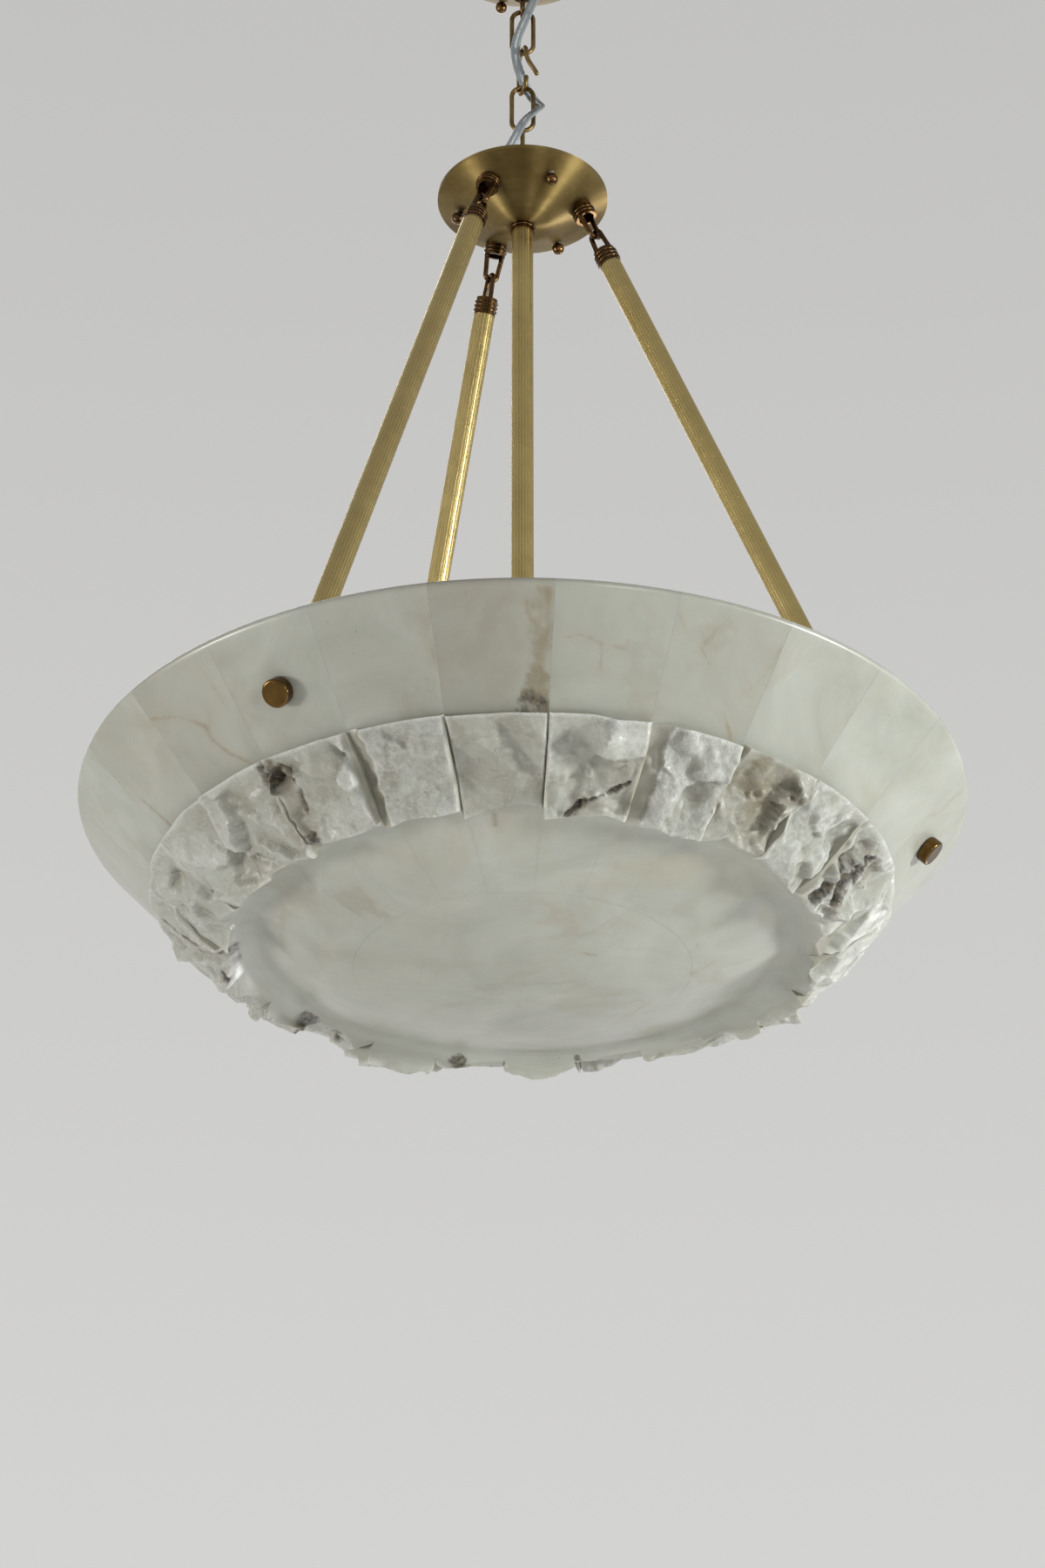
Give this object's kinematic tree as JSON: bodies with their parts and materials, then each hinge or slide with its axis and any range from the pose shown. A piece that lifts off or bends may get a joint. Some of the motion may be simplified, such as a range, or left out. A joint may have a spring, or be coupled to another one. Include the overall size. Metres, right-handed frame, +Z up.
{
  "type": "bowl chandelier",
  "caption": "Alabaster bowl pendant of glued staves with a band of rough split blocks, hung on reeded brass rods from a chained hub and a ceiling canopy.",
  "frame": {"origin": "centre of the ceiling plane, on the axis of the canopy, chain, stem and bowl", "axes": "+Z up into the ceiling, +X towards the first rod, with the other rods at equal angles round Z"},
  "size_m": [0.6, 0.6, 0.9016],
  "materials": {
    "spun_brass": "satin",
    "dark_bronze": "satin",
    "chain_brass": "satin",
    "reeded_brass": "satin",
    "knob_brass": "gloss",
    "zinc_steel": "satin",
    "porcelain": "satin",
    "clear_flex": "gloss",
    "black_rubber": "matte",
    "opal_glass": "satin",
    "alabaster": "satin"
  },
  "bodies": {
    "ceiling": {"ceiling_canopy": "spun_brass", "ceiling_crossbar": "zinc_steel", "terminal_block": "porcelain", "canopy_studs": "zinc_steel", "canopy_ball_nuts": "dark_bronze", "canopy_nipple": "zinc_steel", "canopy_lock_nuts": "zinc_steel", "canopy_grommet": "black_rubber", "canopy_loop": "dark_bronze"},
    "link_1": {"chain_link_1": "chain_brass", "flex_1": "clear_flex"},
    "link_2": {"chain_link_2": "chain_brass", "flex_2": "clear_flex"},
    "link_3": {"chain_link_3": "chain_brass", "flex_3": "clear_flex"},
    "link_4": {"chain_link_4": "chain_brass", "flex_4": "clear_flex"},
    "hub": {"hub_plate": "zinc_steel", "hub_cone": "spun_brass", "hub_studs": "zinc_steel", "hub_ball_nuts": "dark_bronze", "hub_nipple": "zinc_steel", "hub_lock_nuts": "zinc_steel", "hub_grommet": "black_rubber", "hub_loop": "dark_bronze", "hub_eyes": "dark_bronze", "hub_eye_nuts": "zinc_steel", "stem_collar": "dark_bronze", "stem_tube": "reeded_brass", "lamp_cluster_body": "reeded_brass", "lamp_cluster_cover": "reeded_brass", "lampholders": "porcelain", "flex_5": "clear_flex"},
    "bowl": {"rod_tube_1": "reeded_brass", "rod_tube_2": "reeded_brass", "rod_tube_3": "reeded_brass", "rod_eyes": "dark_bronze", "rod_feet": "reeded_brass", "foot_pads": "black_rubber", "knob_washers": "black_rubber", "stave_pair_01": "alabaster", "stave_pair_02": "alabaster", "stave_pair_03": "alabaster", "stave_pair_04": "alabaster", "stave_pair_05": "alabaster", "stave_pair_06": "alabaster", "stave_pair_07": "alabaster", "stave_pair_08": "alabaster", "stave_pair_09": "alabaster", "stave_pair_10": "alabaster", "stave_pair_11": "alabaster", "stave_pair_12": "alabaster", "bottom_disc": "alabaster"},
    "knob_1": {"knob_1": "knob_brass"},
    "knob_2": {"knob_2": "knob_brass"},
    "knob_3": {"knob_3": "knob_brass"},
    "bulb_1": {"bulb_1": "opal_glass"},
    "bulb_2": {"bulb_2": "opal_glass"},
    "bulb_3": {"bulb_3": "opal_glass"}
  },
  "joints": [
    {"name": "chain_swing_1", "type": "hinge", "parent": "ceiling", "child": "link_1", "pos_m": [0, 0, -0.068], "axis": [-0.0645, 0.9979, 0], "range_deg": [-30, 30], "deforming": ["flex_1"]},
    {"name": "chain_swing_2", "type": "hinge", "parent": "link_1", "child": "link_2", "pos_m": [0, 0, -0.1053], "axis": [0.9979, 0.0645, 0], "range_deg": [-30, 30], "deforming": ["flex_2"]},
    {"name": "chain_swing_3", "type": "hinge", "parent": "link_2", "child": "link_3", "pos_m": [0, 0, -0.1428], "axis": [-0.0645, 0.9979, 0], "range_deg": [-30, 30], "deforming": ["flex_3"]},
    {"name": "chain_swing_4", "type": "hinge", "parent": "link_3", "child": "link_4", "pos_m": [0, 0, -0.1803], "axis": [0.9979, 0.0645, 0], "range_deg": [-30, 30], "deforming": ["flex_4"]},
    {"name": "hub_swing", "type": "hinge", "parent": "link_4", "child": "hub", "pos_m": [0, 0, -0.2178], "axis": [-0.0645, 0.9979, 0], "range_deg": [-30, 30], "deforming": ["flex_5"]},
    {"name": "bowl_lift", "type": "slide", "parent": "hub", "child": "bowl", "axis": [0, 0, 1], "range_m": [0, 0.003]},
    {"name": "knob_turn_1", "type": "hinge", "parent": "bowl", "child": "knob_1", "pos_m": [0.27, 0, -0.80367], "axis": [0.7303, 0, -0.6832], "continuous": true},
    {"name": "knob_turn_2", "type": "hinge", "parent": "bowl", "child": "knob_2", "pos_m": [-0.135, 0.23383, -0.80367], "axis": [-0.3651, 0.6324, -0.6832], "continuous": true},
    {"name": "knob_turn_3", "type": "hinge", "parent": "bowl", "child": "knob_3", "pos_m": [-0.135, -0.23383, -0.80367], "axis": [-0.3651, -0.6324, -0.6832], "continuous": true},
    {"name": "bulb_turn_1", "type": "hinge", "parent": "hub", "child": "bulb_1", "pos_m": [0.035, 0.06062, -0.8066], "axis": [0.5, 0.866, 0], "continuous": true},
    {"name": "bulb_turn_2", "type": "hinge", "parent": "hub", "child": "bulb_2", "pos_m": [-0.07, 0, -0.8066], "axis": [-1, 0, 0], "continuous": true},
    {"name": "bulb_turn_3", "type": "hinge", "parent": "hub", "child": "bulb_3", "pos_m": [0.035, -0.06062, -0.8066], "axis": [0.5, -0.866, 0], "continuous": true}
  ]
}
